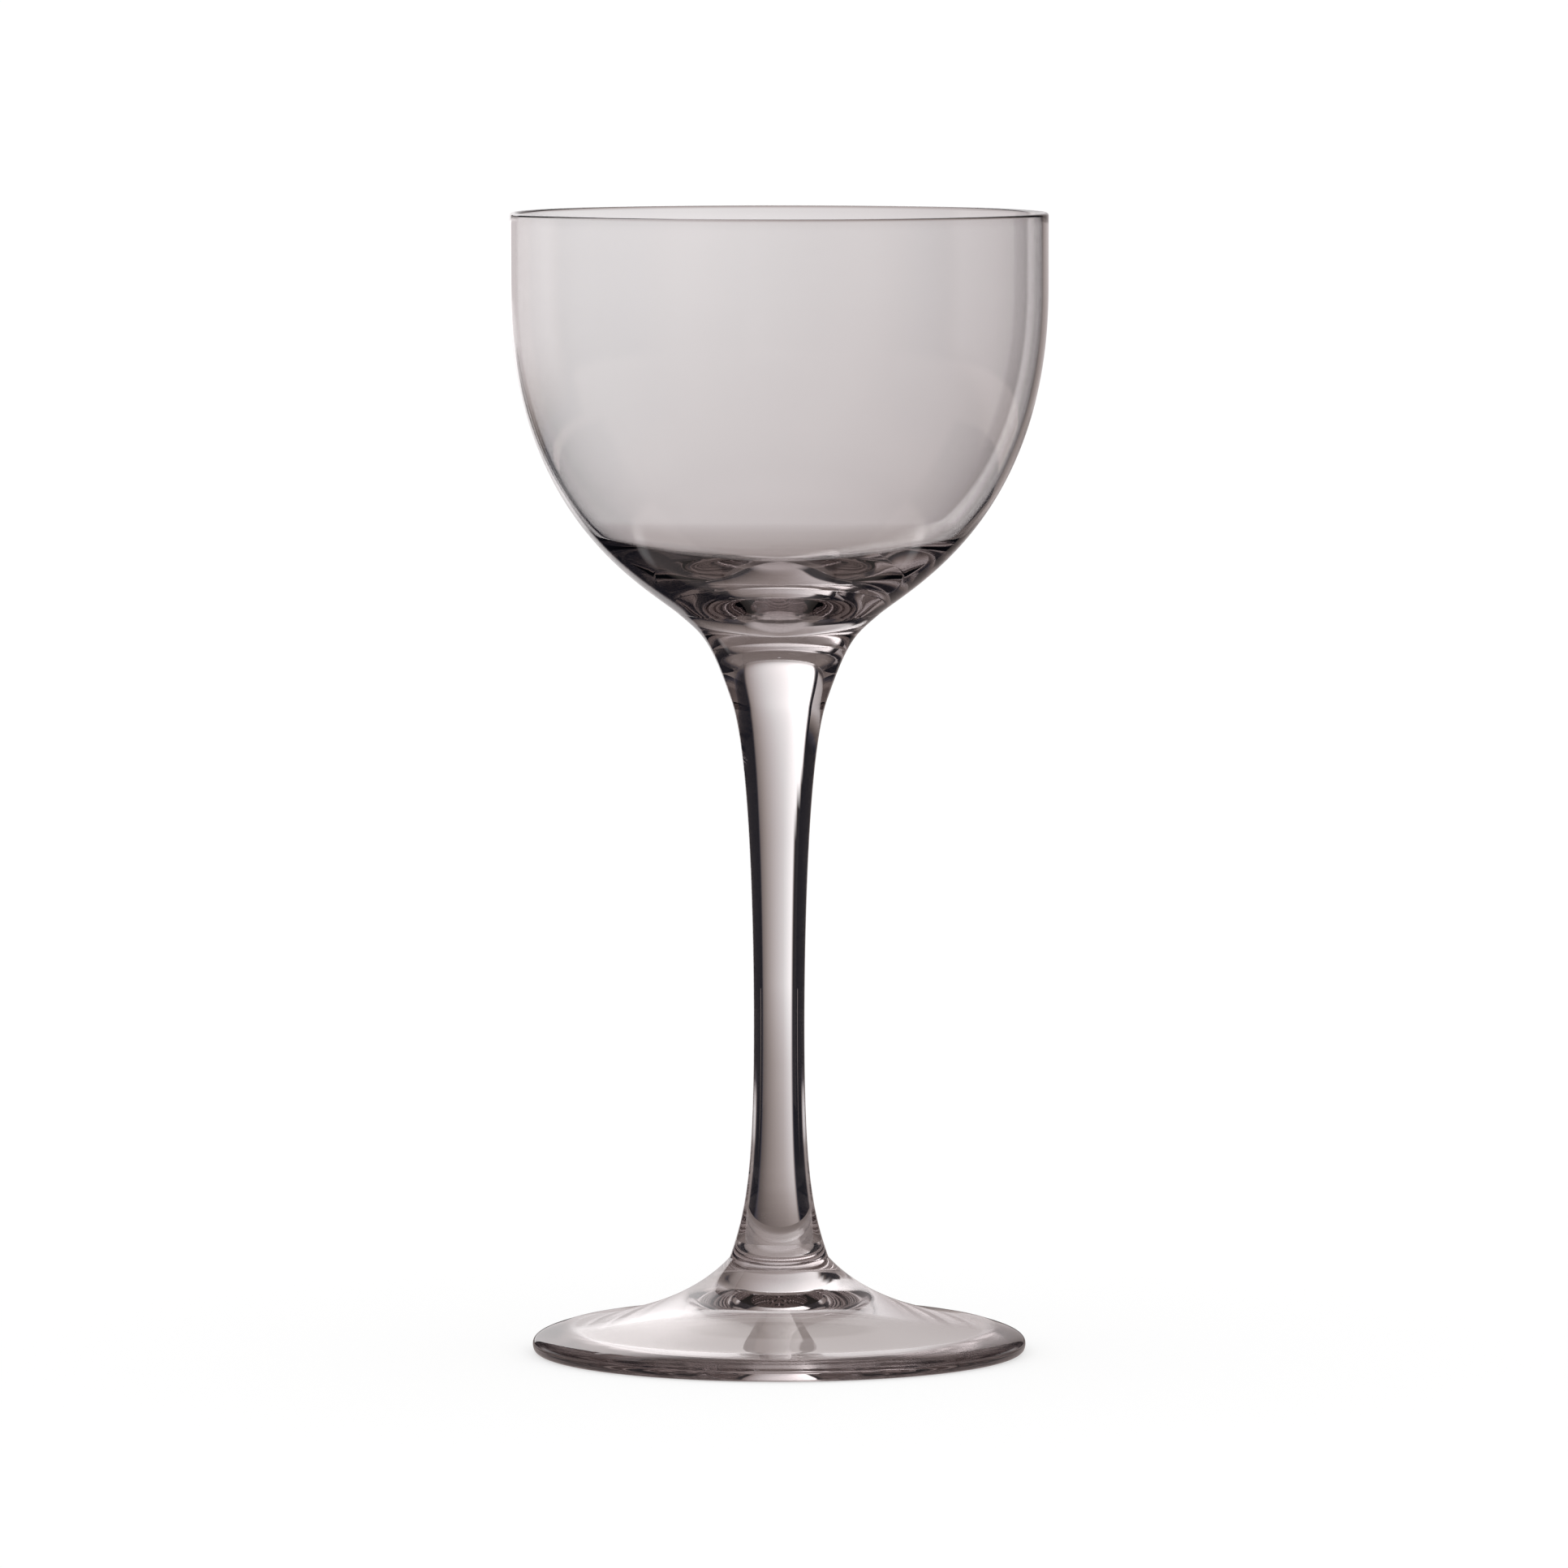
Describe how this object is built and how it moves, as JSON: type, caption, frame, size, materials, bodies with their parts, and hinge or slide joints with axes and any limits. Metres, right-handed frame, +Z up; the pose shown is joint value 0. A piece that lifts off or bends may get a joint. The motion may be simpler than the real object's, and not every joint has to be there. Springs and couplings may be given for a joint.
{
  "type": "cocktail glass",
  "caption": "Stemmed cocktail glass in lightly smoked grey glass, with an egg-shaped bowl, a slim stem that flares at both ends and a round foot, hollow underneath.",
  "frame": {"origin": "middle of the circle that the foot stands on", "axes": "+Z up the axis of the glass, from the foot to the rim; the glass is round, so X and Y are free"},
  "size_m": [0.0728, 0.0728, 0.155],
  "materials": {
    "smoke_glass": "fire-polished, clear, lightly smoked with a warm grey"
  },
  "bodies": {
    "root": {"foot": "smoke_glass", "stem": "smoke_glass", "bowl": "smoke_glass"}
  },
  "joints": []
}
